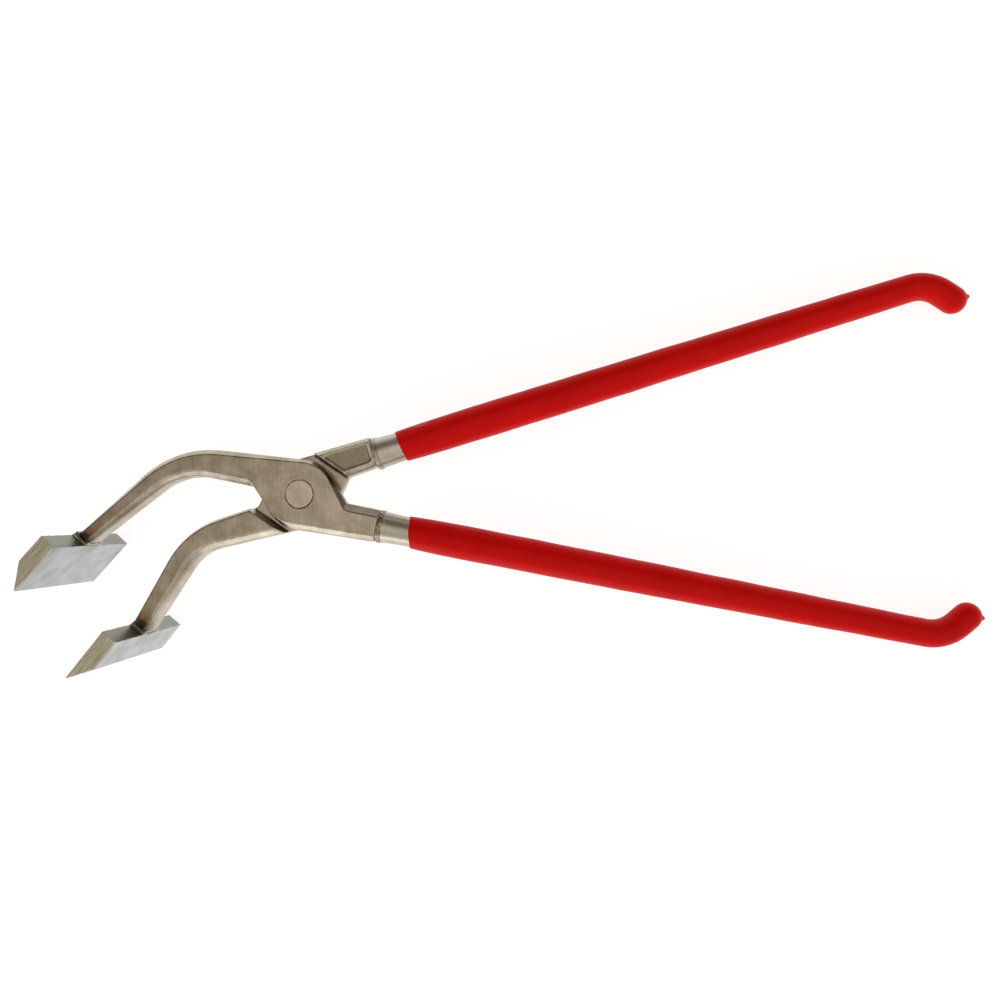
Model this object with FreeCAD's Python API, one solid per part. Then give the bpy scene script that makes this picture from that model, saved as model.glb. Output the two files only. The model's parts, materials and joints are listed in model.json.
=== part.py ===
import FreeCAD, Part
import math
import os

# Frame grip: long-handled tongs that lift a comb frame out of a beehive by its top bar.
# The tongs are drawn in a tool frame: origin on the rivet axis at mid thickness, x towards the
# handles, y from the lower handle to the upper one, z along the rivet. The last step lays the
# finished tongs on a table. Lengths are in millimetres and angles in degrees.

# --- forgings -------------------------------------------------------------------------------
FORGING_T = 11.0          # full thickness of the jaw arms and of the handle stubs
BEVEL_H = 2.2             # height of the bevel between a flat face and the side wall
FACE_R_MIN = 0.4          # tightest corner of a flat face
LAP_GAP = 0.10            # air between the two lap plates
SHOULDER_D = 14.6         # distance of each lap shoulder from the rivet axis, at the lap surface
SHOULDER_DRAFT = 8.0      # forging draft of the shoulders
SHOULDER_ANGLE = 52.9     # direction the shoulders of the rear forging face
FILM = 0.3                # brazing filler between an arm's end and its blade
PANEL_DEPTH = 0.6         # recess in the upper handle stub

# --- gripping blades ------------------------------------------------------------------------
BLADE_H = 20.8            # from the heel to the edge
BLADE_T = 6.4             # thickness
BLADE_STRAIGHT = 12.0     # parallel part before the chisel bevel
BLADE_EDGE = 0.7          # width left at the edge
BLADE_L = 54.0            # length along the rivet direction
BLADE_SHIFT = -0.3        # the blades sit slightly towards the back of the arms
BLADE_ROUND = 0.3         # ground edges
UPPER_BLADE_DIR = 224.5   # direction from heel to edge
LOWER_BLADE_DIR = 228.0
BRAZE_LEG = 1.5           # leg of the brazing fillet
BRAZE_HOLLOW = 0.3        # share of the leg left at the middle of the hollow fillet

# --- rivet ----------------------------------------------------------------------------------
RIVET_HEAD_R = 5.2
RIVET_SHANK_R = 4.2
RIVET_HEAD_H = 1.0        # countersink depth of both heads, set flush
RUNNING_FIT = 0.05        # radial clearance in the front forging

# --- handles --------------------------------------------------------------------------------
HANDLE_ANGLE = 13.9       # each handle from the middle line, jaws open by a frame bar
HANDLE_OFFSET = 6.15      # distance of a handle's axis from the rivet axis
STUB_END = 30.3           # weld between stub and bar, measured along the handle axis
BEND_START = 229.1        # where the lower bar starts to bend inwards
UPPER_EXTRA = 2.0         # the upper bar reaches a little further
BEND_R = 13.0
BEND_TURN = 52.0
TAIL = 4.45               # straight end after the bend
BAR_STATIONS = ((30.3, 5.85), (34.0, 5.65), (42.0, 5.35), (60.0, 5.4), (115.0, 5.2),
                (160.0, 4.9), (200.0, 4.5), (BEND_START, 4.15))
GRIP_STATIONS = ((38.0, 5.75), (41.5, 5.95), (47.0, 6.2), (60.0, 6.37), (115.0, 6.17),
                 (160.0, 5.8), (200.0, 5.4), (BEND_START, 5.05))
UPPER_RIM = 40.2          # where the dipped coat starts
LOWER_RIM = 42.0
RIM_TILT_UPPER = 7.0      # the bath surface crossed the handles at a slant
RIM_TILT_LOWER = 11.0
NIB_R = 2.3               # drip left at the lowest point of the dipped end
NIB_TIP_R = 0.6
NIB_H = 2.4
NIB_SINK = 1.2            # root of the drip inside the end
NIB_OFFSET = 0.4          # the drip hangs a little inside the end's middle
RIDGE_R = 6.25            # weld ridge around the butt joint
RIDGE_W = 2.4
RIDGE_ROOT = 5.5
RIDGE_SHIFT = 0.9         # the bead lies on the bar's side of the joint
RIDGE_DEPTH = 1.6         # the bead reaches down to the bar

# --- lying on a table -----------------------------------------------------------------------
LEAN_Y = 3.514            # the blades stick out further than the grips, so the tongs lie aslant,
LEAN_X = -2.150           # on the ends of both blades and on the upper handle

# Each forging is an outline of straight flanks, taken anticlockwise. A flank is: direction it
# faces, distance from the rivet axis, corner radius to the next flank, bevel width at its start
# and bevel width at its end.
FRONT_FLANKS = (
    (80.5, 12.8, 38.0, 1.0, 2.1),       # top of the joint, then of the jaw arm
    (128.4, 44.4, 0.0, 2.1, 0.8),       # outer side of the jaw arm
    (UPPER_BLADE_DIR, None, 0.0, 0.0, 0.0),
    (304.0, -33.2, 24.0, 0.8, 2.2),     # inner side of the jaw arm
    (255.2, 1.0, 1.6, 2.3, 2.5),        # underside of the arm beside the joint
    (210.0, 13.1, 12.7, 0.4, 0.4),      # free edge of the lap plate, jaw side
    (258.4, 13.3, 0.0, 2.6, 2.2),       # lower side of the handle stub
    (360.0 - HANDLE_ANGLE, STUB_END, 0.0, 0.0, 0.0),
    (75.5, 0.1, 1.6, 2.7, 2.7),         # upper side of the handle stub
    (28.0, 12.9, 12.7, 1.6, 0.4),       # free edge of the lap plate, handle side
)
REAR_FLANKS = (
    (102.6, 13.15, 12.7, 1.6, 1.6),     # top of the handle stub and of the joint
    (150.0, 13.1, 1.6, 0.4, 0.4),       # free edge of the lap plate, jaw side
    (105.1, 0.9, 33.0, 1.0, 1.0),       # upper side of the jaw arm
    (147.8, 31.2, 0.0, 0.8, 0.5),       # upper side of its steep part
    (LOWER_BLADE_DIR, None, 0.0, 0.0, 0.0),
    (323.7, -19.6, 18.0, 0.9, 2.3),     # lower side of the jaw arm
    (279.9, 12.6, 12.7, 2.6, 2.4),
    (332.0, 12.9, 1.6, 0.4, 0.4),       # free edge of the lap plate, handle side
    (286.4, 0.0, 0.0, 2.3, 2.3),        # lower side of the handle stub
    (HANDLE_ANGLE, STUB_END, 0.0, 0.0, 0.0),
)
PANEL_FLANKS = (
    (103.2, 11.3, 1.2, 0.2, 0.2),
    (180.0 + SHOULDER_ANGLE, -16.1, 0.8, 0.3, 0.3),
    (285.0, -2.7, 2.2, 0.3, 0.3),
    (HANDLE_ANGLE, 29.5, 1.6, 0.3, 0.3),
)
UPPER_HEEL = 68.2         # distance of each blade's heel from the rivet axis
LOWER_HEEL = 76.5
UPPER_FACE = -46.1        # distance of each gripping face from the rivet axis, along its normal
LOWER_FACE = 18.6

V = FreeCAD.Vector
UP = V(0, 0, 1)
CUTTER = 60.0             # half length of the cutting solids
PAST = 1.0                # how far they run past a face


def unit(angle):
    """Unit vector in the tool plane."""
    return V(math.cos(math.radians(angle)), math.sin(math.radians(angle)), 0)


def crossing(a, b):
    """Point where two lines cross, each given by its facing direction and its distance."""
    n, m = unit(a[0]), unit(b[0])
    det = n.x * m.y - n.y * m.x
    return V((a[1] * m.y - n.y * b[1]) / det, (n.x * b[1] - m.x * a[1]) / det, 0)


def rounded_wire(corners, radii, z):
    """Closed wire through the corners, each rounded by a tangent arc of its own radius."""
    points = []
    n = len(corners)
    for i, c in enumerate(corners):
        before = (corners[i - 1] - c).normalize()
        after = (corners[(i + 1) % n] - c).normalize()
        if radii[i] <= 0:
            points.append((c, None, c))
            continue
        half = before.getAngle(after) / 2
        reach = radii[i] / math.tan(half)
        middle = c + (before + after).normalize() * (radii[i] / math.sin(half) - radii[i])
        points.append((c + before * reach, middle, c + after * reach))
    lift = V(0, 0, z)
    edges = []
    for i, (start, middle, end) in enumerate(points):
        if middle is not None:
            edges.append(Part.Arc(start + lift, middle + lift, end + lift).toShape())
        edges.append(Part.LineSegment(end + lift, points[(i + 1) % n][0] + lift).toShape())
    return Part.Wire(edges)


def outlines(flanks, heel=None):
    """The wall outline and the narrower face outline, as (corners, radii) pairs."""
    lines = [(f[0], heel - FILM if f[1] is None else f[1]) for f in flanks]
    n = len(lines)
    corners = [crossing(lines[i], lines[(i + 1) % n]) for i in range(n)]
    wall_radii = [f[2] for f in flanks]
    face_lines = []
    for i, f in enumerate(flanks):
        start = corners[i - 1] - unit(f[0]) * f[3]
        end = corners[i] - unit(f[0]) * f[4]
        along = end - start
        angle = math.degrees(math.atan2(along.y, along.x)) - 90
        face_lines.append((angle, start.dot(unit(angle))))
    face_corners = [crossing(face_lines[i], face_lines[(i + 1) % n]) for i in range(n)]
    face_radii = []
    for i, r in enumerate(wall_radii):
        turn = (flanks[(i + 1) % n][0] - flanks[i][0]) % 360
        inset = (flanks[i][4] + flanks[(i + 1) % n][3]) / 2
        convex = turn < 180
        face_radii.append(0 if r == 0 else max(FACE_R_MIN, r - inset if convex else r + inset))
    return (corners, wall_radii), (face_corners, face_radii)


def slab(wire, height):
    return Part.Face(wire).extrude(V(0, 0, height))


def skew(lower, upper):
    """Solid between two similar wires at different heights."""
    return Part.makeLoft([lower, upper], True, True)


def forging_blank(flanks, heel):
    """Full-thickness forging with a bevel all round both faces."""
    wall, face = outlines(flanks, heel)
    top = FORGING_T / 2
    shelf = top - BEVEL_H
    body = slab(rounded_wire(*wall, -shelf), 2 * shelf)
    for side in (1, -1):
        body = body.fuse(skew(rounded_wire(*wall, side * shelf), rounded_wire(*face, side * top)))
    return body.removeSplitter()


def lap_cut(facing, side):
    """What is milled away for the other lap plate: a channel between two drafted shoulders."""
    wide = FORGING_T / 2 + PAST
    spread = SHOULDER_D + wide * math.tan(math.radians(SHOULDER_DRAFT))
    floor = side * LAP_GAP / -2
    n, t = unit(facing), unit(facing + 90) * CUTTER
    profile = []
    for reach, z in ((-SHOULDER_D, floor), (SHOULDER_D, floor),
                     (spread, side * wide), (-spread, side * wide)):
        profile.append(n * reach - t + V(0, 0, z))
    return Part.Face(Part.makePolygon(profile + profile[:1])).extrude(t * 2)


def rivet_solid(clearance):
    """Shank with a countersunk head at each face."""
    top = FORGING_T / 2
    shank = RIVET_SHANK_R + clearance
    head = RIVET_HEAD_R + clearance
    outline = [V(0, 0, -top), V(head, 0, -top), V(shank, 0, RIVET_HEAD_H - top),
               V(shank, 0, top - RIVET_HEAD_H), V(head, 0, top), V(0, 0, top)]
    return Part.Face(Part.makePolygon(outline + outline[:1])).revolve(V(0, 0, 0), UP, 360)


def blade_solid(heel_corner, direction, outward):
    """Chisel-edged bar; heel_corner is where its gripping face meets the arm."""
    u, v = unit(direction), unit(outward)
    profile = [heel_corner,
               heel_corner + u * BLADE_H,
               heel_corner + u * BLADE_H + v * BLADE_EDGE,
               heel_corner + u * BLADE_STRAIGHT + v * BLADE_T,
               heel_corner + v * BLADE_T]
    base = V(0, 0, BLADE_SHIFT - BLADE_L / 2)
    wire = Part.makePolygon([p + base for p in profile + profile[:1]])
    body = Part.Face(wire).extrude(UP * BLADE_L)
    rounded = []
    for edge in body.Edges:
        middle = edge.CenterOfMass
        off = middle - heel_corner
        along_edge = abs(edge.tangentAt(edge.FirstParameter).z) > 0.9
        knee = abs(off.dot(u) - BLADE_STRAIGHT) < 0.1
        heel = abs(off.dot(u)) < 0.1
        if (knee if along_edge else not heel):
            rounded.append(edge)
    return body.makeFillet(BLADE_ROUND, rounded)


def braze_solid(heel_corner, direction, outward, arm):
    """Thin film under the arm's end, rising in a hollow fillet against both of its faces."""
    u, v = unit(direction), unit(outward)
    top = FORGING_T / 2
    reach = UP * (top + BRAZE_LEG)
    root = UP * top - u * BRAZE_LEG
    hollow = UP * (top + BRAZE_HOLLOW * BRAZE_LEG) - u * (BRAZE_HOLLOW * BRAZE_LEG)
    upper = Part.Arc(reach, hollow, root).toShape()
    lower = upper.mirror(V(0, 0, 0), UP)
    film = Part.makePolygon([reach, reach + u * FILM, u * FILM - reach, reach * -1])
    back = Part.LineSegment(root, root - UP * FORGING_T).toShape()
    edges = film.Edges + [upper, lower, back]
    body = Part.Face(Part.Wire(Part.__sortEdges__(edges))).extrude(v * BLADE_T)
    body.translate(heel_corner - u * FILM)
    return body.cut(arm)


def handle_frame(side):
    """Placement that carries (distance along the handle, outwards, z) into the tool frame."""
    along = unit(side * HANDLE_ANGLE)
    outwards = unit(side * (HANDLE_ANGLE + 90))
    return along, outwards, outwards * HANDLE_OFFSET


def swept_round(side, stations):
    """Round bar through the stations along the handle, then bent inwards and domed."""
    along, outwards, foot = handle_frame(side)
    longer = UPPER_EXTRA if side > 0 else 0
    stations = stations[:-1] + ((stations[-1][0] + longer, stations[-1][1]),)
    points = [foot + along * s + outwards * r for s, r in stations]
    curve = Part.BSplineCurve()
    curve.interpolate(points)
    start, end = stations[0], stations[-1]
    axis_start = foot + along * start[0]
    axis_end = foot + along * end[0]
    wire = Part.Wire([curve.toShape(),
                      Part.LineSegment(points[-1], axis_end).toShape(),
                      Part.LineSegment(axis_end, axis_start).toShape(),
                      Part.LineSegment(axis_start, points[0]).toShape()])
    body = Part.Face(wire).revolve(axis_start, along, 360)
    ring = Part.Face(Part.Wire(Part.makeCircle(end[1], axis_end, along)))
    centre = axis_end - outwards * BEND_R
    bend = ring.revolve(centre, V(0, 0, -side), BEND_TURN)
    heading = unit(side * (HANDLE_ANGLE - BEND_TURN))
    bend_end = centre + unit(side * (HANDLE_ANGLE - BEND_TURN + 90)) * BEND_R
    tail = Part.makeCylinder(end[1], TAIL, bend_end, heading)
    tip = bend_end + heading * TAIL
    dome = Part.makeSphere(end[1], tip, heading, 0, 90, 360)
    return body.fuse([bend, tail, dome]).removeSplitter(), tip


def handle_pieces(side, stub, rim, rim_tilt):
    """Bar, weld ridge and dipped grip of one handle."""
    along, outwards, foot = handle_frame(side)
    bar, tip = swept_round(side, BAR_STATIONS)
    coat, tip = swept_round(side, GRIP_STATIONS)
    lowest = tip + along * (GRIP_STATIONS[-1][1] - NIB_SINK) - outwards * NIB_OFFSET
    nib = Part.makeCone(NIB_R, NIB_TIP_R, NIB_H, lowest, along)
    coat = coat.fuse(nib)
    lean = side * HANDLE_ANGLE + rim_tilt
    block = Part.makeBox(CUTTER, 2 * CUTTER, 2 * CUTTER, V(-CUTTER, -CUTTER, -CUTTER))
    block.rotate(V(0, 0, 0), UP, lean)
    block.translate(foot + along * rim)
    grip = coat.cut(block).cut(bar)
    crest = Part.Ellipse(V(0, 0, 0), RIDGE_W / 2, RIDGE_R - RIDGE_ROOT)
    arc = crest.toShape(0, math.pi)
    half = RIDGE_W / 2
    base = Part.makePolygon([V(-half, 0, 0), V(-half, -RIDGE_DEPTH, 0),
                             V(half, -RIDGE_DEPTH, 0), V(half, 0, 0)])
    profile = Part.Wire([arc] + list(base.Edges))
    ring = Part.Face(profile)
    ring.translate(V(0, RIDGE_ROOT, 0))
    ring = ring.revolve(V(0, 0, 0), V(1, 0, 0), 360)
    middle = foot + along * (STUB_END + RIDGE_SHIFT)
    ring.Placement = FreeCAD.Placement(middle, FreeCAD.Rotation(UP, side * HANDLE_ANGLE))
    ridge = ring.cut(bar).cut(stub)
    return bar, ridge, grip


# --- forgings: outline, lap channel, rivet hole, recess ---------------------------------------
front = forging_blank(FRONT_FLANKS, UPPER_HEEL)
front = front.cut(lap_cut(-SHOULDER_ANGLE, -1)).cut(rivet_solid(RUNNING_FIT))
rear = forging_blank(REAR_FLANKS, LOWER_HEEL)
rear = rear.cut(lap_cut(SHOULDER_ANGLE, 1)).cut(rivet_solid(0))
panel_floor, panel_mouth = outlines(PANEL_FLANKS)[::-1]
top = FORGING_T / 2
panel = skew(rounded_wire(*panel_floor, top - PANEL_DEPTH), rounded_wire(*panel_mouth, top))
panel = panel.fuse(slab(rounded_wire(*panel_mouth, top), PAST))
rear = rear.cut(panel)

nodes = {"front_forging": front, "rear_forging": rear, "pivot_rivet": rivet_solid(0)}

# --- blades and their brazing -----------------------------------------------------------------
upper_corner = crossing((UPPER_BLADE_DIR, UPPER_HEEL), (UPPER_BLADE_DIR + 90, UPPER_FACE))
lower_corner = crossing((LOWER_BLADE_DIR, LOWER_HEEL), (LOWER_BLADE_DIR - 90, LOWER_FACE))
for name, corner, direction, outward, arm in (
        ("upper", upper_corner, UPPER_BLADE_DIR, UPPER_BLADE_DIR - 90, front),
        ("lower", lower_corner, LOWER_BLADE_DIR, LOWER_BLADE_DIR + 90, rear)):
    nodes[name + "_jaw_blade"] = blade_solid(corner, direction, outward)
    nodes[name + "_braze_seam"] = braze_solid(corner, direction, outward, arm)

# --- handles ----------------------------------------------------------------------------------
for name, side, stub, rim, tilt in (("upper", 1, rear, UPPER_RIM, RIM_TILT_UPPER),
                                    ("lower", -1, front, LOWER_RIM, RIM_TILT_LOWER)):
    bar, ridge, grip = handle_pieces(side, stub, rim, tilt)
    nodes[name + "_handle_bar"] = bar
    nodes[name + "_weld_ridge"] = ridge
    nodes[name + "_grip"] = grip

# --- lay the tongs on the table, centred over the origin --------------------------------------
lean = FreeCAD.Rotation(V(1, 0, 0), LEAN_X).multiply(FreeCAD.Rotation(V(0, 1, 0), LEAN_Y))
lie = FreeCAD.Placement(V(0, 0, 0), lean)
box = Part.makeCompound([s.transformed(lie.toMatrix(), True) for s in nodes.values()])
box = box.optimalBoundingBox()
shift = V(-(box.XMin + box.XMax) / 2, -(box.YMin + box.YMax) / 2, -box.ZMin)
lie = FreeCAD.Placement(shift, lean)
print("rivet centre", [round(c / 1000, 5) for c in shift])
print("rivet axis", [round(c, 6) for c in lean.multVec(UP)])

os.makedirs("parts", exist_ok=True)
for name, shape in nodes.items():
    solid = shape.Solids[0] if len(shape.Solids) == 1 else shape
    placed = solid.transformed(lie.toMatrix(), True)
    print(name, len(shape.Solids), shape.isValid(), round(shape.Volume / 1000, 3), "cm3")
    placed.exportStep("parts/" + name + ".step")
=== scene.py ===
# %% [markdown]
# # Frame grip: long-handled tongs for lifting comb frames out of a beehive
#
# The real tool is two forged steel halves on one rivet. Each half has a bent jaw arm with a
# chisel-edged blade brazed across its end, and a long round handle that was dipped in red
# vinyl. The design, with its sizes and its hinge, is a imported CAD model. This lesson loads
# that model as a fixed frame and gives every piece the skin of the real one: forged and
# brushed nickel-plated steel, ground blades, brazing, weld beads and dipped vinyl.

# %% Load the frame
import json
import math

import bmesh
import bpy
from mathutils import Matrix, Vector, noise


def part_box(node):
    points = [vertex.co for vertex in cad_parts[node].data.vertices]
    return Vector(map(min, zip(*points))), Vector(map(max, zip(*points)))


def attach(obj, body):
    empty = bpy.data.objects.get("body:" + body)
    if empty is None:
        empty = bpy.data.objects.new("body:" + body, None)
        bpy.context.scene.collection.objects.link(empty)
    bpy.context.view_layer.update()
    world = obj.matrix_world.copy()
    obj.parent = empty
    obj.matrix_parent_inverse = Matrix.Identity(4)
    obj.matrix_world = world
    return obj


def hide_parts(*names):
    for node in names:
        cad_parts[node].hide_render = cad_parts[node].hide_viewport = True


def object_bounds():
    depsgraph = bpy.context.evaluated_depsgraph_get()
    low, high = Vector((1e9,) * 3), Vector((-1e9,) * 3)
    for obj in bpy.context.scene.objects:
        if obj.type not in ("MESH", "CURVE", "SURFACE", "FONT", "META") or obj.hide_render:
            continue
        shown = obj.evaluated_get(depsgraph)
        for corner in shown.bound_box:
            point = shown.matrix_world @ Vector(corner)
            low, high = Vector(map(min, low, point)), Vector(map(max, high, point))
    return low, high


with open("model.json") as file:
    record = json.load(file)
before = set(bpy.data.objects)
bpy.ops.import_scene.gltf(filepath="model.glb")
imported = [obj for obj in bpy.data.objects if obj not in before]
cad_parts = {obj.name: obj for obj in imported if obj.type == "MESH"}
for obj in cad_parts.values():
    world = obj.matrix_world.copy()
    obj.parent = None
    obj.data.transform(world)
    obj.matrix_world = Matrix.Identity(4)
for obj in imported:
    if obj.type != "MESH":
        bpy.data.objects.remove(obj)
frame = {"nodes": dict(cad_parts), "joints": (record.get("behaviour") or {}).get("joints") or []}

cad_low, cad_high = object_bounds()
nodes = frame["nodes"]
MM = 0.001
print("CAD box, mm:", [round(side / MM, 1) for side in cad_high - cad_low])

# %% [markdown]
# ## Colours and nodes
#
# Colours are easiest to pick as sRGB hex, as on a screen, but shaders work in linear light,
# so one function does the conversion. Procedural materials are graphs of nodes. Placing
# them by hand in the editor can't be repeated, so one small function adds a node with its
# settings and its links, and every material below is a short list of such calls.

# %% Colour and node helpers
def linear(hex_colour):
    """An sRGB hex colour as linear red, green, blue and alpha."""
    channels = [int(hex_colour[i:i + 2], 16) / 255 for i in (1, 3, 5)]
    return tuple(c / 12.92 if c <= 0.04045 else ((c + 0.055) / 1.055) ** 2.4
                 for c in channels) + (1.0,)


def add(tree, kind, settings=None, stops=None, **inputs):
    """Adds one node. An input is a socket's name, or its number as i0, i1 and so on."""
    node = tree.nodes.new("ShaderNode" + kind)
    for name, value in (settings or {}).items():
        setattr(node, name, value)
    for name, value in inputs.items():
        numbered = name[0] == "i" and name[1:].isdigit()
        socket = node.inputs[int(name[1:]) if numbered else name.replace("_", " ")]
        if isinstance(value, bpy.types.Node):
            value = next(output for output in value.outputs if output.enabled)
        if isinstance(value, bpy.types.NodeSocket):
            tree.links.new(value, socket)
        else:
            socket.default_value = value
    if stops:
        ramp = node.color_ramp
        while len(ramp.elements) < len(stops):
            ramp.elements.new(1.0)
        for element, (place, colour) in zip(ramp.elements, stops):
            element.position = place
            element.color = colour if isinstance(colour, tuple) else (colour,) * 3 + (1.0,)
    return node


def per_mm(size):
    """The texture scale that gives a pattern whose grains are this many millimetres."""
    return 1 / (size * MM)


print("steel grey in linear light:", [round(c, 3) for c in linear("#b8b8b8")[:3]])

# %% [markdown]
# ## Camera
#
# The tongs lie on a table and the camera looks almost straight down on them from close by.
# The closeness matters: it is why the blades, which stand far off the middle, show so much
# of their broad sides. The camera stands on a sphere round a point between the handles, at
# an azimuth, an elevation and a distance, and its image is turned slightly on the table.

# %% Camera
CAMERA_AZIMUTH = 5.879
CAMERA_ELEVATION = 82.789
CAMERA_DISTANCE = 326.87
CAMERA_TURN = 3.294
CAMERA_AIM = (0.52, -5.84, 21.34)
LENS = 32.58


def studio_camera():
    """Makes the scene's camera from its direction, its distance and its turn."""
    azimuth, elevation = math.radians(CAMERA_AZIMUTH), math.radians(CAMERA_ELEVATION)
    back = Vector((math.cos(elevation) * math.cos(azimuth),
                   math.cos(elevation) * math.sin(azimuth), math.sin(elevation)))
    turn = math.radians(CAMERA_TURN)
    right = Vector((math.sin(turn), math.cos(turn), 0)).cross(back).normalized()
    up = back.cross(right)
    camera = bpy.data.objects.new("camera", bpy.data.cameras.new("camera"))
    camera.data.lens = LENS
    camera.data.clip_start = 10 * MM
    place = (Vector(CAMERA_AIM) + back * CAMERA_DISTANCE) * MM
    camera.matrix_world = Matrix.Translation(place) @ Matrix((right, up, back)).transposed().to_4x4()
    bpy.context.scene.collection.objects.link(camera)
    bpy.context.scene.camera = camera
    return camera


camera = studio_camera()
print("camera height, mm:", round(camera.location.z / MM, 1))

# %% [markdown]
# ## Table
#
# A back-lit acrylic table glows a little, which keeps shadows faint and lights the steel
# from below. A white floor under strong lamps would do the same, but it would also flood
# the flat faces, so the table gives off light of its own.

# %% Back-lit table
TABLE_SIZE = 3000
TABLE_GLOW = 0.85


def studio_table():
    """A large pale table top just under the tongs."""
    half = TABLE_SIZE * MM / 2
    mesh = bpy.data.meshes.new("table")
    made = bmesh.new()
    corners = [made.verts.new((x * half, y * half, cad_low.z))
               for x, y in ((-1, -1), (1, -1), (1, 1), (-1, 1))]
    made.faces.new(corners)
    made.to_mesh(mesh)
    made.free()
    table = bpy.data.objects.new("table", mesh)
    bpy.context.scene.collection.objects.link(table)
    material = bpy.data.materials.new("backlit_acrylic")
    material.use_nodes = True
    shader = material.node_tree.nodes["Principled BSDF"]
    shader.inputs["Base Color"].default_value = linear("#9c9c9c")
    shader.inputs["Roughness"].default_value = 0.9
    shader.inputs["Specular IOR Level"].default_value = 0.0
    shader.inputs["Emission Color"].default_value = linear("#ffffff")
    shader.inputs["Emission Strength"].default_value = TABLE_GLOW
    mesh.materials.append(material)
    return table


table = studio_table()
print("table, mm:", TABLE_SIZE)

# %% [markdown]
# ## Room
#
# Metal shows its surroundings more than its own colour, so the room is part of the look.
# The ceiling is a warm white that darkens to the left, the near wall is a neutral grey, and
# the upper part of the far wall is dark, so every round or bevelled edge gets a dark upper
# band and a bright lower one. All round, the walls are pale near the floor. A photograph of
# a room could do this too, but a few plain walls are enough and stay easy to change.

# %% Ceiling and walls
CEILING = linear("#f2ebdd")
LEFT_CEILING = linear("#877c6b")
NEAR_WALL = linear("#c9c9c4")
FAR_WALL = linear("#756c60")
LOW_WALL = linear("#c8c7c1")


def studio_room():
    """The room beyond the lights, as colours by direction."""
    world = bpy.data.worlds.new("room")
    bpy.context.scene.world = world
    world.use_nodes = True
    tree = world.node_tree
    background = tree.nodes["Background"]
    place = add(tree, "TexCoord")
    axes = add(tree, "SeparateXYZ", Vector=place.outputs["Generated"])
    soft = {"interpolation_type": "SMOOTHSTEP"}
    left = add(tree, "MapRange", soft, Value=axes.outputs["X"], From_Min=-0.1, From_Max=-0.5)
    near = add(tree, "MapRange", soft, Value=axes.outputs["Y"], From_Min=-0.25, From_Max=-0.8)
    far = add(tree, "MapRange", soft, Value=axes.outputs["Y"], From_Min=0.15, From_Max=0.5)
    colour = add(tree, "Mix", {"data_type": "RGBA"}, i0=left, i6=CEILING, i7=LEFT_CEILING)
    colour = add(tree, "Mix", {"data_type": "RGBA"}, i0=near, i6=colour, i7=NEAR_WALL)
    colour = add(tree, "Mix", {"data_type": "RGBA"}, i0=far, i6=colour, i7=FAR_WALL)
    low = add(tree, "MapRange", soft, Value=axes.outputs["Z"], From_Min=0.45, From_Max=0.2)
    colour = add(tree, "Mix", {"data_type": "RGBA"}, i0=low, i6=colour, i7=LOW_WALL)
    tree.links.new(colour.outputs[2], background.inputs["Color"])
    return world


studio_room()
print("room:", bpy.context.scene.world.name)

# %% [markdown]
# ## Softboxes
#
# One wide softbox stands low at the near left. It gives the near edges of the steel their
# light rims and the vinyl its bright lower band. A smaller one at the left keeps the ends
# of the blades from going flat. Radiance is set rather than watts, so that a box's size can
# change without changing how bright it looks in the steel.

# %% Softboxes
def softbox(name, place, size, radiance):
    """A rectangular soft light that faces the middle of the tongs; place and size in metres."""
    lamp = bpy.data.lights.new(name, "AREA")
    lamp.shape = "RECTANGLE"
    lamp.size, lamp.size_y = size
    lamp.energy = radiance * math.pi * size[0] * size[1]
    light = bpy.data.objects.new(name, lamp)
    bpy.context.scene.collection.objects.link(light)
    light.location = place
    light.rotation_mode = "QUATERNION"
    light.rotation_quaternion = Vector(place).to_track_quat("Z", "Y")
    return light


NEAR_BOX = {"place": (-0.55, -0.95, 0.24), "size": (1.3, 0.42), "radiance": 1.6}
LEFT_BOX = {"place": (-1.3, -0.1, 0.35), "size": (0.9, 0.5), "radiance": 0.9}
lights = [softbox("near_softbox", **NEAR_BOX), softbox("left_softbox", **LEFT_BOX)]
bpy.context.scene.view_settings.view_transform = "Standard"
print("lights:", [light.name for light in lights])

# %% [markdown]
# ## Where things are
#
# Patterns on the steel depend on places of the tool: the rivet, the arm ends where the
# blades are brazed on, and the plane of the flat faces. They all come from the frame, so
# they stay right if the design changes.

# %% Reference places
hinge = frame["joints"][0]
RIVET = Vector(hinge["pos_m"])
FACING = Vector(hinge["axis"]).normalized()
HALF_THICKNESS = 5.5
RIVET_HEAD = 5.2
PANEL_DEPTH = 0.6


def middle(node):
    """The middle of a CAD node's box."""
    low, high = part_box(node)
    return (low + high) / 2


UPPER_SEAM = middle("upper_braze_seam")
LOWER_SEAM = middle("lower_braze_seam")
print("rivet, mm:", [round(c / MM, 1) for c in RIVET])

# %% [markdown]
# ## Nickel plate over a brushed forging
#
# The halves are drop-forged, ground on a belt and nickel-plated. The belt leaves fine
# parallel lines on the flat faces, and the plate is warm grey with faint brown patches. The
# shade in hollows is painted in as a darker colour. Nickel is a metal, so metallic is 1 and
# the IOR keeps its default. An image could carry the brushing, but stretched noise gives lines
# at any distance. It is laid out in object space, so it rides with each half.

# %% Nickel plate
BRUSH_LINE = 0.45          # real lines are 0.05 mm apart, drawn coarser so that they show
BRUSH_LENGTH = 9.0
PATCH = 7.0
GRAIN = 0.35


def new_finish(name):
    """A new material, its node tree, its shader and the object's own coordinates."""
    material = bpy.data.materials.new(name)
    material.use_nodes = True
    tree = material.node_tree
    return material, tree, tree.nodes["Principled BSDF"], add(tree, "TexCoord")


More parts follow.
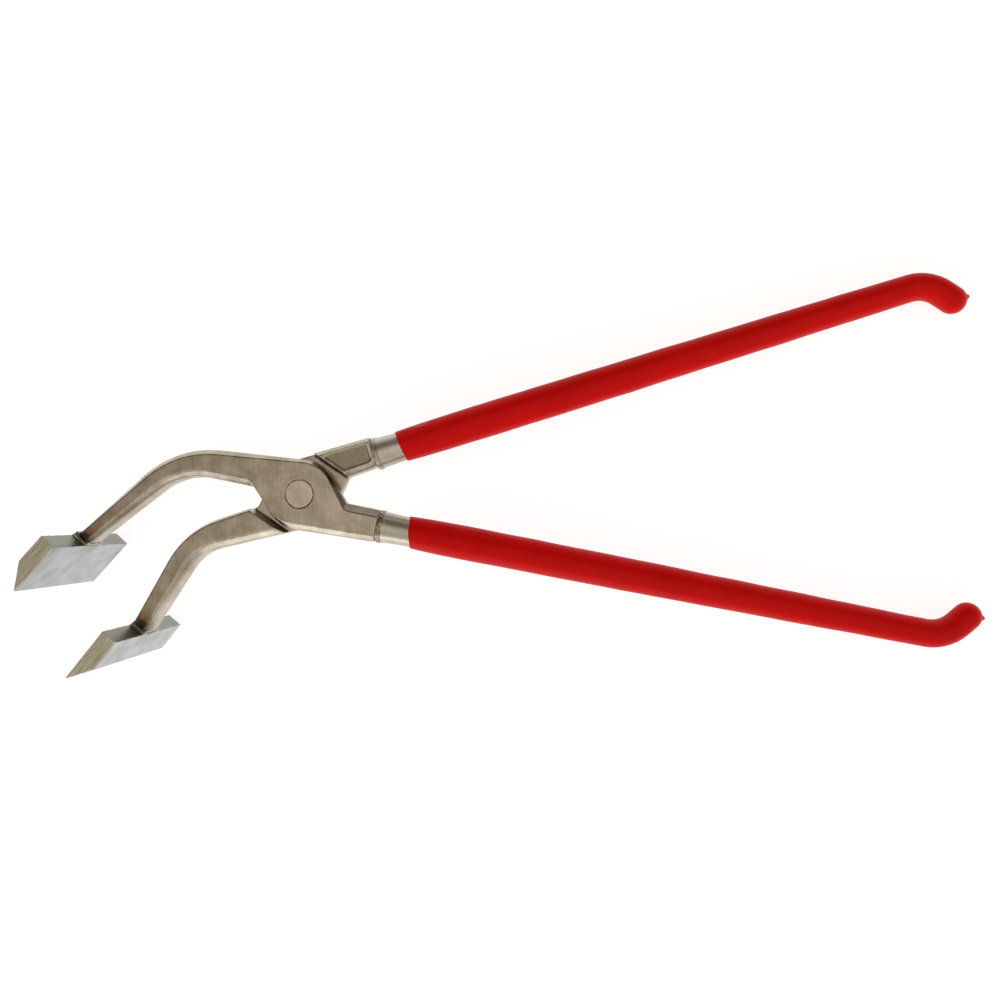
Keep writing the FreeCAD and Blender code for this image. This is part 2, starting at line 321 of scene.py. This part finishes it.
def nickel_plate(name, pale, brown, line_depth=0.02):
    """Brushed nickel plate: brushing, brown patches, fine grain and painted shade in hollows."""
    material, tree, shader, place = new_finish(name)
    on_piece = place.outputs["Object"]
    stretch = add(tree, "Mapping", Vector=on_piece,
                  Scale=(per_mm(BRUSH_LINE), per_mm(BRUSH_LENGTH), per_mm(BRUSH_LINE)))
    lines = add(tree, "TexNoise", Vector=stretch, Scale=1.0, Detail=4.0, Roughness=0.65)
    patches = add(tree, "TexNoise", Vector=on_piece, Scale=per_mm(PATCH), Detail=4.0,
                  Roughness=0.6)
    grain = add(tree, "TexNoise", Vector=on_piece, Scale=per_mm(GRAIN), Detail=2.0)
    tone = add(tree, "ValToRGB", stops=[(0.3, linear(brown)), (0.7, linear(pale))],
               Fac=patches)
    streak = add(tree, "MapRange", Value=lines, From_Min=0.25, From_Max=0.75, To_Min=0.76,
                 To_Max=1.12)
    speck = add(tree, "MapRange", Value=grain, From_Min=0.3, From_Max=0.7, To_Min=0.92,
                To_Max=1.05)
    texture = add(tree, "Math", {"operation": "MULTIPLY"}, i0=streak, i1=speck)
    tone = add(tree, "VectorMath", {"operation": "SCALE"}, i0=tone, Scale=texture)
    # Painted shade: the less pointy the surface, the darker the plate, so creases and lap steps look
    # shaded.
    hollow = add(tree, "NewGeometry")
    hollow_shade = add(tree, "MapRange", Value=hollow.outputs["Pointiness"], From_Min=0.49,
                From_Max=0.44, To_Max=0.75)
    tone = add(tree, "Mix", {"data_type": "RGBA"}, i0=hollow_shade, i6=tone, i7=linear("#2c251c"))
    tree.links.new(tone.outputs[2], shader.inputs["Base Color"])
    rough = add(tree, "MapRange", Value=lines, From_Min=0.2, From_Max=0.8, To_Min=0.26,
                To_Max=0.42)
    tree.links.new(rough.outputs[0], shader.inputs["Roughness"])
    shader.inputs["Metallic"].default_value = 1.0
    height = add(tree, "Math", {"operation": "ADD"}, i0=lines, i1=grain)
    bump = add(tree, "Bump", Strength=0.35, Distance=line_depth * MM, Height=height)
    tree.links.new(bump.outputs["Normal"], shader.inputs["Normal"])
    return material


print("brushing lines, mm:", BRUSH_LINE)

# %% [markdown]
# ## One plate, several surfaces
#
# Everything was plated in one bath, but what lies under the plate differs: the forgings
# were brushed, the bars were drawn smooth, and the welds and the brazing are as they froze.
# Each gets the same finish with its own pair of tones and its own depth of lines.

# %% Plated finishes
SMOOTH = 0.01              # lines on what was never brushed, in millimetres deep
upper_plate = nickel_plate("nickel_plated_upper_jaw_half", "#d2c8b9", "#aa9d8a")
lower_plate = nickel_plate("nickel_plated_lower_jaw_half", "#d2c8b9", "#aa9d8a")
rivet_plate = nickel_plate("nickel_plated_rivet", "#e6d9cb", "#cdbdab")
bar_plate = nickel_plate("nickel_plated_bar", "#d0ccc2", "#bcb4a5", SMOOTH)
weld_plate = nickel_plate("nickel_plated_weld_bead", "#cbc4b5", "#a89c88", SMOOTH)
pitted_weld_plate = nickel_plate("nickel_plated_pitted_weld", "#c4bcab", "#94886f", SMOOTH)
seam_plate = nickel_plate("nickel_plated_brazing", "#c9c4b4", "#a79b80", SMOOTH)
print("plated finishes:", len(bpy.data.materials) - 1)

# %% [markdown]
# ## Marks laid over a finish
#
# Heat tint, copper and dirt lie on top of the plate in a few places only. Painting them
# would need an image, and a separate mesh would need to fit exactly, so they are shares
# from 0 to 1, worked out from the distance to a place of the tool, that lay one more
# colour over what a finish already has.

# %% Marks
RAGGED_GRAIN = 1.6


def lay_over(material, share, colour):
    """Lays a colour, hex or a node, over a finish's own colour by a share."""
    tree = material.node_tree
    target = tree.nodes["Principled BSDF"].inputs["Base Color"]
    over = linear(colour) if isinstance(colour, str) else colour
    mixed = add(tree, "Mix", {"data_type": "RGBA"}, i0=share, i6=target.links[0].from_socket,
                i7=over)
    tree.links.new(mixed.outputs[2], target)


def spot(material, centre, radius, strength=1.0, ragged=0.35):
    """A share that is full at a place and falls to 0 at a radius in millimetres."""
    tree = material.node_tree
    on_piece = add(tree, "TexCoord").outputs["Object"]
    wander = add(tree, "TexNoise", Vector=on_piece, Scale=per_mm(RAGGED_GRAIN), Detail=3.0)
    away = add(tree, "VectorMath", {"operation": "DISTANCE"}, i0=on_piece, i1=centre)
    pushed = add(tree, "Math", {"operation": "MULTIPLY_ADD"}, i0=wander,
                 i1=radius * MM * ragged * 2, i2=away.outputs["Value"])
    return add(tree, "MapRange", {"interpolation_type": "SMOOTHSTEP"}, Value=pushed,
               From_Min=radius * MM * (1 + ragged), From_Max=radius * MM * 0.35,
               To_Max=strength)


print("grain of a mark's rim, mm:", RAGGED_GRAIN)

# %% [markdown]
# ## Heat tint and copper at the brazed joints
#
# The blades are brazed on with a copper alloy. The torch leaves the arm ends brown, and a
# fleck of the copper shows through the plate where the joint was cleaned up.

# %% Heat tint and copper
FRONT_OF_ARM = FACING * HALF_THICKNESS * MM
UPPER_COPPER = UPPER_SEAM + FRONT_OF_ARM + Vector((3.4, 2.6, 0)) * MM
LOWER_COPPER = LOWER_SEAM + FRONT_OF_ARM + Vector((1.6, 4.2, 0)) * MM
for steel, joint, copper in ((upper_plate, UPPER_SEAM, UPPER_COPPER),
                             (lower_plate, LOWER_SEAM, LOWER_COPPER)):
    lay_over(steel, spot(steel, joint + FRONT_OF_ARM, 11.0, 0.55), "#6a563d")
    lay_over(steel, spot(steel, joint + FRONT_OF_ARM, 6.5), "#3b3024")
    lay_over(steel, spot(steel, copper, 1.7), "#d08550")
for joint in (UPPER_SEAM, LOWER_SEAM):
    lay_over(seam_plate, spot(seam_plate, joint + FRONT_OF_ARM, 7.0, 0.9, 0.6), "#43382b")
print("copper flecks:", [[round(c / MM) for c in place] for place in (UPPER_COPPER, LOWER_COPPER)])

# %% [markdown]
# ## Dark shoulders of the far edges
#
# The rounded shoulders of the far edges turn away from the light and show as a thin dark
# line. That shade is painted into the plate's colour. A shoulder is where the surface has
# started to turn to the far side and hasn't reached the bevel yet, so the line comes from
# the direction that the surface faces.

# %% Painted shade on the far shoulders
def paint_far_shoulder_shade(material):
    """Paints shade on the narrow rounding between a flat face and a bevel on the far side."""
    tree = material.node_tree
    facing = add(tree, "SeparateXYZ", Vector=add(tree, "TexCoord").outputs["Normal"])
    line = add(tree, "ValToRGB", stops=[(0.16, 0.0), (0.28, 0.75), (0.45, 0.75), (0.6, 0.0)],
               Fac=facing.outputs["Y"])
    lay_over(material, line, "#45392a")


for steel in (upper_plate, lower_plate):
    paint_far_shoulder_shade(steel)
print("dark shoulders on:", upper_plate.name, lower_plate.name)

# %% [markdown]
# ## Dark line round the rivet
#
# The rivet head was hammered into its countersink and ground flush, so all that shows is a
# thin line where polish and dirt have settled, darkest on the jaw side. The line is a ring
# at the head's radius: the distance from the rivet's axis, through a narrow ramp.

# %% Rivet line
RAMP = 10.0                # the ramps below run from 0 to this many millimetres
RIVET_GAP = 1.4            # the line is broken into pieces about this long


def rivet_line(material):
    """Darkens a thin ring at the rivet head's edge, more so towards the jaws."""
    tree = material.node_tree
    on_piece = add(tree, "TexCoord").outputs["Object"]
    offset = add(tree, "VectorMath", {"operation": "SUBTRACT"}, i0=on_piece, i1=RIVET)
    sideways = add(tree, "VectorMath", {"operation": "CROSS_PRODUCT"}, i0=offset, i1=FACING)
    reach = add(tree, "VectorMath", {"operation": "LENGTH"}, i0=sideways)
    tenths = add(tree, "Math", {"operation": "MULTIPLY"}, i0=reach.outputs["Value"],
                 i1=per_mm(RAMP))
    edge = RIVET_HEAD / RAMP
    ring = add(tree, "ValToRGB", stops=[(edge - 0.03, 0.0), (edge - 0.008, 1.0),
                                        (edge + 0.008, 1.0), (edge + 0.03, 0.0)], Fac=tenths)
    jawside = add(tree, "SeparateXYZ", Vector=offset)
    dark = add(tree, "MapRange", Value=jawside.outputs["X"], From_Min=5 * MM, From_Max=-5 * MM,
               To_Min=0.2, To_Max=0.95)
    broken = add(tree, "TexNoise", Vector=on_piece, Scale=per_mm(RIVET_GAP), Detail=1.0)
    gaps = add(tree, "MapRange", Value=broken, From_Min=0.38, From_Max=0.55, To_Min=0.25)
    share = add(tree, "Math", {"operation": "MULTIPLY"}, i0=ring, i1=dark)
    share = add(tree, "Math", {"operation": "MULTIPLY"}, i0=share, i1=gaps)
    lay_over(material, share, "#2c241b")


for steel in (upper_plate, rivet_plate):
    rivet_line(steel)
print("rivet head, mm:", 2 * RIVET_HEAD)

# %% [markdown]
# ## Floor of the stamped panel
#
# The upper handle's stub has a shallow recess with a rough cast floor, which the belt never
# reached. It is granular and greyer than the rest. The floor is known by its depth under
# the flat face and by facing straight up.

# %% Panel floor
GRANULE = 0.5


def panel_floor(material):
    """Gives the recess of the upper handle's stub its granular floor."""
    tree = material.node_tree
    place = add(tree, "TexCoord")
    offset = add(tree, "VectorMath", {"operation": "SUBTRACT"}, i0=place.outputs["Object"],
                 i1=RIVET)
    height = add(tree, "VectorMath", {"operation": "DOT_PRODUCT"}, i0=offset, i1=FACING)
    tenths = add(tree, "Math", {"operation": "MULTIPLY"}, i0=height.outputs["Value"],
                 i1=per_mm(RAMP))
    floor = (HALF_THICKNESS - PANEL_DEPTH) / RAMP
    level = add(tree, "ValToRGB", stops=[(floor - 0.05, 0.0), (floor - 0.03, 1.0),
                                         (floor + 0.02, 1.0), (floor + 0.035, 0.0)], Fac=tenths)
    upright = add(tree, "VectorMath", {"operation": "DOT_PRODUCT"},
                  i0=place.outputs["Normal"], i1=FACING)
    flat = add(tree, "MapRange", Value=upright.outputs["Value"], From_Min=0.93, From_Max=0.98)
    share = add(tree, "Math", {"operation": "MULTIPLY"}, i0=level, i1=flat)
    granules = add(tree, "TexNoise", Vector=place.outputs["Object"], Scale=per_mm(GRANULE),
                   Detail=4.0, Roughness=0.7)
    rough_cast = add(tree, "ValToRGB", stops=[(0.35, linear("#857d6d")),
                                              (0.65, linear("#a79f8e"))], Fac=granules)
    lay_over(material, share, rough_cast)


panel_floor(lower_plate)
print("panel depth, mm:", PANEL_DEPTH)

# %% [markdown]
# ## Pits in the lower weld
#
# The lower handle's weld was left rougher than the upper one: a row of small dark pits runs
# along it. Noise cut off at a level gives pits of uneven size and spacing.

# %% Weld pits
PIT = 0.6
tree = pitted_weld_plate.node_tree
pit_noise = add(tree, "TexNoise", Vector=add(tree, "TexCoord").outputs["Object"],
                Scale=per_mm(PIT), Detail=1.0)
lay_over(pitted_weld_plate, add(tree, "MapRange", Value=pit_noise, From_Min=0.5, From_Max=0.6,
                                To_Max=0.65), "#2b231a")
print("pit size, mm:", PIT)

# %% [markdown]
# ## Ground blade steel
#
# The blades are cut from ground bar stock. Their broad sides are bright, with soft cloudy
# patches, and their sawn ends were dressed on a coarse wheel, which leaves clear lines
# along them and a yellowish cast. Both are one piece of steel, so one material tells them
# apart by which way the surface faces. Near the joint the heat has greyed the steel.

# %% Blade steel
GRIND_LINE = 0.4           # coarse wheel marks, wide enough to show
GRIND_LENGTH = 9.0
CLOUD = 7.0


def ground_steel(name, turn):
    """Bright ground steel, wheel marks along its ends at this turn in degrees, painted shade on the
    heel.
    """
    material, tree, shader, place = new_finish(name)
    on_piece = place.outputs["Object"]
    turned = add(tree, "Mapping", {"vector_type": "TEXTURE"}, Vector=on_piece,
                 Rotation=(0.0, 0.0, math.radians(turn)))
    stretch = add(tree, "Mapping", Vector=turned,
                  Scale=(per_mm(GRIND_LENGTH), per_mm(GRIND_LINE), per_mm(GRIND_LENGTH)))
    marks = add(tree, "TexNoise", Vector=stretch, Scale=1.0, Detail=4.0, Roughness=0.7)
    clouds = add(tree, "TexNoise", Vector=on_piece, Scale=per_mm(CLOUD), Detail=5.0)
    upright = add(tree, "VectorMath", {"operation": "DOT_PRODUCT"},
                  i0=place.outputs["Normal"], i1=FACING)
    on_end = add(tree, "MapRange", Value=upright.outputs["Value"], From_Min=0.6, From_Max=0.85)
    polished = add(tree, "ValToRGB", stops=[(0.3, linear("#a4a6a6")), (0.65, linear("#c4c5c7"))],
                   Fac=clouds)
    ground = add(tree, "ValToRGB", stops=[(0.35, linear("#aea890")), (0.65, linear("#f4f0e0"))],
                 Fac=marks)
    tone = add(tree, "Mix", {"data_type": "RGBA"}, i0=on_end, i6=polished, i7=ground)
    # Painted shade: the heel, the narrow face turned away from the edge, is given a darker colour.
    away = Vector((math.cos(math.radians(turn)), math.sin(math.radians(turn)), 0.0))
    heelward = add(tree, "VectorMath", {"operation": "DOT_PRODUCT"},
                   i0=place.outputs["Normal"], i1=away)
    heel_shade = add(tree, "MapRange", Value=heelward.outputs["Value"], From_Min=0.7,
                  From_Max=0.9, To_Max=0.85)
    tone = add(tree, "Mix", {"data_type": "RGBA"}, i0=heel_shade, i6=tone.outputs[2],
               i7=linear("#87867a"))
    tree.links.new(tone.outputs[2], shader.inputs["Base Color"])
    rough = add(tree, "MapRange", Value=on_end, To_Min=0.38, To_Max=0.42)
    tree.links.new(rough.outputs[0], shader.inputs["Roughness"])
    shader.inputs["Metallic"].default_value = 1.0
    height = add(tree, "Math", {"operation": "MULTIPLY"}, i0=marks, i1=on_end)
    bump = add(tree, "Bump", Strength=0.5, Distance=0.04 * MM, Height=height)
    tree.links.new(bump.outputs["Normal"], shader.inputs["Normal"])
    return material


upper_steel = ground_steel("ground_steel_upper_blade", 44.5)
lower_steel = ground_steel("ground_steel_lower_blade", 48.0)
lay_over(upper_steel, spot(upper_steel, UPPER_SEAM, 9.0, 0.5, 0.15), "#8f8b80")
lay_over(lower_steel, spot(lower_steel, LOWER_SEAM, 9.0, 0.5, 0.15), "#8f8b80")
print("blade finishes:", upper_steel.name, lower_steel.name)

# %% [markdown]
# ## Dipped vinyl
#
# The handles were dipped in liquid vinyl, which sets to a soft, satin skin with faint runs
# and ripples. Vinyl is a plastic, so it isn't metallic and its IOR is 1.53. The ripples are
# real shape, made further down, and the material adds only the fine skin and a slight
# change of tone.

# %% Vinyl
SKIN = 0.5
RUN = 18.0


def dipped_vinyl():
    """Satin red vinyl with a fine skin and slightly uneven tone."""
    material, tree, shader, place = new_finish("dipped_red_vinyl")
    on_piece = place.outputs["Object"]
    runs = add(tree, "TexNoise", Vector=on_piece, Scale=per_mm(RUN), Detail=3.0)
    skin = add(tree, "TexNoise", Vector=on_piece, Scale=per_mm(SKIN), Detail=2.0)
    tone = add(tree, "ValToRGB", stops=[(0.3, linear("#d20200")), (0.7, linear("#de0400"))],
               Fac=runs)
    tree.links.new(tone.outputs["Color"], shader.inputs["Base Color"])
    rough = add(tree, "MapRange", Value=skin, From_Min=0.3, From_Max=0.7, To_Min=0.36,
                To_Max=0.46)
    tree.links.new(rough.outputs[0], shader.inputs["Roughness"])
    shader.inputs["IOR"].default_value = 1.53
    shader.inputs["Specular IOR Level"].default_value = 0.1
    bump = add(tree, "Bump", Strength=0.12, Distance=0.03 * MM, Height=skin)
    tree.links.new(bump.outputs["Normal"], shader.inputs["Normal"])
    return material


vinyl = dipped_vinyl()
print("vinyl:", vinyl.name)

# %% [markdown]
# ## From sharp CAD solids to worked metal
#
# Forging, grinding, plating and dipping all round an edge a little, and none leaves a face
# perfectly flat. A bevel modifier could round the edges, but the curved bevels and the lap
# shoulders meet at awkward corners. Voxel remeshing copes with any shape: the copy becomes
# a fine even net, and a few smoothing passes round every edge by about a voxel.

# %% Worked copies
JOIN = 0.001               # corners nearer than this, in millimetres, are one


def worked_copy(node, name, voxel, passes):
    """A copy of a CAD node as a fine net with slightly rounded edges; sizes in millimetres."""
    mesh = nodes[node].data.copy()
    mesh.materials.clear()
    piece = bpy.data.objects.new(name, mesh)
    bpy.context.scene.collection.objects.link(piece)
    made = bmesh.new()
    made.from_mesh(mesh)
    bmesh.ops.remove_doubles(made, verts=made.verts, dist=JOIN * MM)
    made.to_mesh(mesh)
    made.free()
    remesh = piece.modifiers.new("net", "REMESH")
    remesh.mode = "VOXEL"
    remesh.voxel_size = voxel * MM
    smooth = piece.modifiers.new("rounding", "SMOOTH")
    smooth.factor = 0.5
    smooth.iterations = passes
    seen = piece.evaluated_get(bpy.context.evaluated_depsgraph_get())
    piece.data = bpy.data.meshes.new_from_object(seen)
    piece.data.name = name
    piece.modifiers.clear()
    piece.data.polygons.foreach_set("use_smooth", [True] * len(piece.data.polygons))
    return piece


print("corners joined within, mm:", JOIN)

# %% [markdown]
# ## Hand-worked unevenness
#
# Slow noise presses the surface in by a few hundredths of a millimetre on steel and more on
# the vinyl. Pressing in only, never out, keeps each piece inside its CAD solid and clear of
# its neighbours. A bump in the material would be easier, but it would be lost in a mesh
# that is taken out of Blender.

# %% Pressing in
def press_in(piece, depth, size):
    """Presses the surface in by up to a depth, in slow noise of that size; millimetres."""
    mesh = piece.data
    for vertex, normal in zip(mesh.vertices, [n.vector.copy() for n in mesh.vertex_normals]):
        wave = noise.noise(vertex.co / (size * MM))
        vertex.co -= normal * (depth * MM * (0.5 + 0.5 * wave))
    mesh.update()


print("pressing in is ready")

# %% [markdown]
# ## Softer near sides
#
# The near sides of the forgings were polished by hand after the belt, so their edges are
# rounder than the far ones. More smoothing passes, limited to the vertices that face the
# near side, round those edges only.

# %% Softer near sides
NEAR_TILT = 5              # softening is full where the surface leans 12 degrees or more


def soften_near_side(piece, passes):
    """More rounding on the sides that face the near edge of the table."""
    near = piece.vertex_groups.new(name="near_side")
    mesh = piece.data
    tilt = [-normal.vector.y for normal in mesh.vertex_normals]
    for vertex, share in zip(mesh.vertices, tilt):
        if share > 0:
            near.add([vertex.index], min(1.0, NEAR_TILT * share), "REPLACE")
    smooth = piece.modifiers.new("softening", "SMOOTH")
    smooth.factor = 0.5
    smooth.iterations = passes
    smooth.vertex_group = near.name
    seen = piece.evaluated_get(bpy.context.evaluated_depsgraph_get())
    piece.data = bpy.data.meshes.new_from_object(seen)
    piece.data.name = piece.name
    piece.modifiers.clear()
    piece.vertex_groups.clear()


print("near sides soften from a lean of 0 to", round(math.degrees(math.asin(1 / NEAR_TILT))))

# %% [markdown]
# ## Handing over to the frame
#
# A finished copy gets its material and the body it moves with.
# It stands for its CAD node, which is hidden but stays in the frame for collision.

# %% Settling a piece
def settle(piece, node, body, material):
    """Gives a finished copy its material and its body, and hides the CAD node."""
    piece.data.materials.append(material)
    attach(piece, body)
    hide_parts(node)
    print(piece.name, len(piece.data.vertices), "vertices")


# %% [markdown]
# ## The two forged halves
#
# Each half is one forging from the jaw arm, through the lap joint, to the handle's stub.
# They are the pieces seen from nearest, so their net is fine: a quarter of a millimetre
# keeps the lap shoulders and the edge of the panel crisp, and only their near sides are
# softened.

# %% Forged halves
for node, body, material in (("rear_forging", "rear_half", lower_plate),
                             ("front_forging", "front_half", upper_plate)):
    forging = worked_copy(node, node + "_worked", 0.26, 4)
    soften_near_side(forging, 60)
    press_in(forging, 0.05, 6.0)
    settle(forging, node, body, material)

# %% [markdown]
# ## Rivet
#
# The rivet rides on the rear half, which it was hammered tight in. Its heads were ground
# flush, so a finer net and few passes leave only a hairline between head and plate.

# %% Rivet
rivet = worked_copy("pivot_rivet", "pivot_rivet_worked", 0.14, 2)
press_in(rivet, 0.03, 2.5)
settle(rivet, "pivot_rivet", "rear_half", rivet_plate)

# %% [markdown]
# ## Blades and brazing
#
# The blades keep crisp ground edges, so they get few passes. The brazing ran as a liquid
# into a hollow fillet and froze, so it is smoothed much more and pressed into small lumps.

# %% Blades and brazing
for side, body, material in (("upper", "front_half", upper_steel),
                             ("lower", "rear_half", lower_steel)):
    blade = worked_copy(side + "_jaw_blade", side + "_blade_ground", 0.26, 2)
    press_in(blade, 0.06, 9.0)
    settle(blade, side + "_jaw_blade", body, material)
    seam = worked_copy(side + "_braze_seam", side + "_seam_flowed", 0.16, 20)
    press_in(seam, 0.12, 1.2)
    settle(seam, side + "_braze_seam", body, seam_plate)

# %% [markdown]
# ## Weld beads, bars and grips
#
# A bead rings the weld between stub and bar, smooth on the upper handle and lumpy on the
# lower one. The bars are drawn rod whose CAD shape is already right, so they keep it and
# only get their plate. The dipped coats are soft, so they are pressed into long ripples.

# %% Weld beads, bars and grips
for side, body, bead_finish, lump in (("upper", "rear_half", weld_plate, 4.0),
                                      ("lower", "front_half", pitted_weld_plate, 1.0)):
    bead = worked_copy(side + "_weld_ridge", side + "_weld_bead", 0.2, 12)
    press_in(bead, 0.3, lump)
    settle(bead, side + "_weld_ridge", body, bead_finish)
    nodes[side + "_handle_bar"].material_slots[0].material = bar_plate
    grip = worked_copy(side + "_grip", side + "_grip_dipped", 0.42, 4)
    press_in(grip, 0.25, 11.0)
    settle(grip, side + "_grip", body, vinyl)
